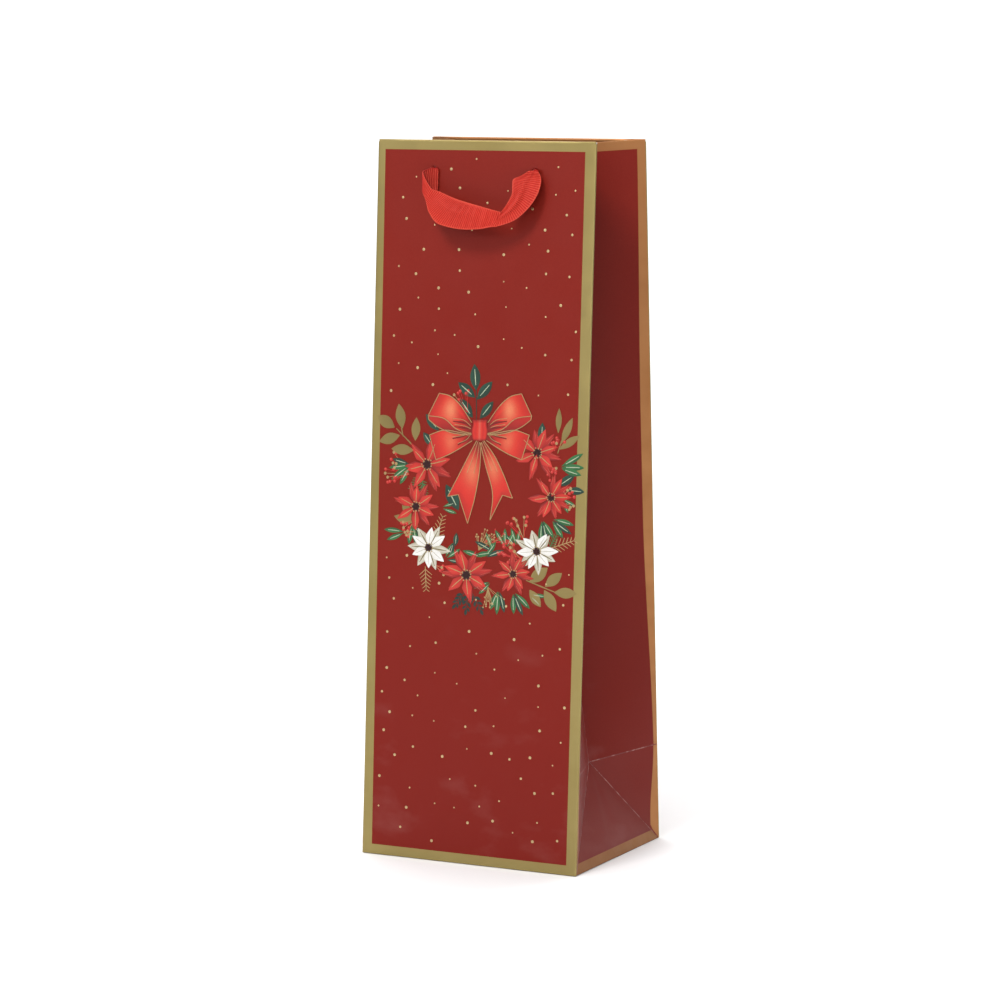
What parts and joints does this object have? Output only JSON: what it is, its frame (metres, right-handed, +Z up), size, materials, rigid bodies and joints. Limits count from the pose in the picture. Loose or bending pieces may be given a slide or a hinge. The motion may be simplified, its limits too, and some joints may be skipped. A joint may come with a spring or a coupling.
{
  "type": "wine gift bag",
  "caption": "Tall narrow gift bag for a wine bottle, folded from laminated red paper with gusseted sides, a gold border, a printed wreath and ribbon handles.",
  "frame": {"origin": "centre of the footprint, on the surface that the bag stands on", "axes": "+Z up the bag, +X to the right across the front panel, -Y out of the front panel"},
  "size_m": [0.12, 0.1, 0.3594],
  "materials": {
    "printed_paper": "red print under matte film, gold foil border and dots",
    "gold_hem": "metallic gold foil on paper",
    "paper_inside": "uncoated white paper",
    "greyboard": "unbleached grey board",
    "ribbon": "ribbed grosgrain ribbon, soft sheen"
  },
  "bodies": {
    "base": {"base_board": "greyboard", "bottom_flap_back": "printed_paper", "bottom_flap_front": "printed_paper", "bottom_flap_left": "printed_paper", "bottom_flap_right": "printed_paper"},
    "front": {"front_panel": "printed_paper", "front_board": "greyboard", "front_hem": "gold_hem", "front_knots": "ribbon"},
    "back": {"back_panel": "printed_paper", "back_board": "greyboard", "back_hem": "gold_hem", "back_knots": "ribbon"},
    "front_right_fold": {"front_right_corner": "printed_paper"},
    "front_right_side": {"front_right_gusset": "printed_paper", "front_right_hem": "gold_hem"},
    "back_right_fold": {"back_right_corner": "printed_paper"},
    "back_right_side": {"back_right_gusset": "printed_paper", "back_right_hem": "gold_hem"},
    "front_left_fold": {"front_left_corner": "printed_paper"},
    "front_left_side": {"front_left_gusset": "printed_paper", "front_left_hem": "gold_hem"},
    "back_left_fold": {"back_left_corner": "printed_paper"},
    "back_left_side": {"back_left_gusset": "printed_paper", "back_left_hem": "gold_hem", "seam_flap": "paper_inside"},
    "right_foot": {"right_foot": "printed_paper"},
    "left_foot": {"left_foot": "printed_paper"},
    "front_handle": {"front_ribbon": "ribbon"},
    "back_handle": {"back_ribbon": "ribbon"}
  },
  "joints": [
    {"name": "mouth", "type": "hinge", "parent": "base", "child": "front", "pos_m": [0, -0.05, 0], "axis": [-1, 0, 0], "range_deg": [-2, 3]},
    {"name": "back_lean", "type": "hinge", "parent": "base", "child": "back", "pos_m": [0, 0.05, 0], "axis": [1, 0, 0], "range_deg": [-2, 3]},
    {"name": "front_right_corner_fold", "type": "hinge", "parent": "front", "child": "front_right_fold", "pos_m": [0.06, -0.049, -0.00006], "axis": [0, 0.0583, 0.9983], "range_deg": [-4.92, 7.38]},
    {"name": "front_right_gusset_fold", "type": "hinge", "parent": "front", "child": "front_right_side", "pos_m": [0.06, -0.049, -0.00006], "axis": [0, 0.0583, 0.9983], "range_deg": [-15.8, 23.7]},
    {"name": "back_right_corner_fold", "type": "hinge", "parent": "back", "child": "back_right_fold", "pos_m": [0.06, 0.049, -0.00006], "axis": [0, 0.0583, -0.9983], "range_deg": [-4.92, 7.38]},
    {"name": "back_right_gusset_fold", "type": "hinge", "parent": "back", "child": "back_right_side", "pos_m": [0.06, 0.049, -0.00006], "axis": [0, 0.0583, -0.9983], "range_deg": [-15.8, 23.7]},
    {"name": "front_left_corner_fold", "type": "hinge", "parent": "front", "child": "front_left_fold", "pos_m": [-0.06, -0.049, -0.00006], "axis": [0, -0.0583, -0.9983], "range_deg": [-4.92, 7.38]},
    {"name": "front_left_gusset_fold", "type": "hinge", "parent": "front", "child": "front_left_side", "pos_m": [-0.06, -0.049, -0.00006], "axis": [0, -0.0583, -0.9983], "range_deg": [-15.8, 23.7]},
    {"name": "back_left_corner_fold", "type": "hinge", "parent": "back", "child": "back_left_fold", "pos_m": [-0.06, 0.049, -0.00006], "axis": [0, -0.0583, 0.9983], "range_deg": [-4.92, 7.38]},
    {"name": "back_left_gusset_fold", "type": "hinge", "parent": "back", "child": "back_left_side", "pos_m": [-0.06, 0.049, -0.00006], "axis": [0, -0.0583, 0.9983], "range_deg": [-15.8, 23.7]},
    {"name": "right_foot_fold", "type": "hinge", "parent": "base", "child": "right_foot", "pos_m": [0.06, 0, 0], "axis": [0, -1, 0], "range_deg": [-4.92, 7.38]},
    {"name": "left_foot_fold", "type": "hinge", "parent": "base", "child": "left_foot", "pos_m": [-0.06, 0, 0], "axis": [0, 1, 0], "range_deg": [-4.92, 7.38]},
    {"name": "front_handle_swing", "type": "hinge", "parent": "front", "child": "front_handle", "pos_m": [0, -0.03187, 0.34453], "axis": [-1, 0, 0], "range_deg": [0, 130]},
    {"name": "back_handle_swing", "type": "hinge", "parent": "back", "child": "back_handle", "pos_m": [0, 0.03187, 0.34453], "axis": [1, 0, 0], "range_deg": [0, 130]}
  ],
  "couplings": [
    {"joint": "back_lean", "follows": "mouth", "ratio": 1},
    {"joint": "front_right_corner_fold", "follows": "mouth", "ratio": 2.46},
    {"joint": "front_right_gusset_fold", "follows": "mouth", "ratio": 7.9},
    {"joint": "back_right_corner_fold", "follows": "mouth", "ratio": 2.46},
    {"joint": "back_right_gusset_fold", "follows": "mouth", "ratio": 7.9},
    {"joint": "front_left_corner_fold", "follows": "mouth", "ratio": 2.46},
    {"joint": "front_left_gusset_fold", "follows": "mouth", "ratio": 7.9},
    {"joint": "back_left_corner_fold", "follows": "mouth", "ratio": 2.46},
    {"joint": "back_left_gusset_fold", "follows": "mouth", "ratio": 7.9},
    {"joint": "right_foot_fold", "follows": "mouth", "ratio": 2.46},
    {"joint": "left_foot_fold", "follows": "mouth", "ratio": 2.46}
  ]
}
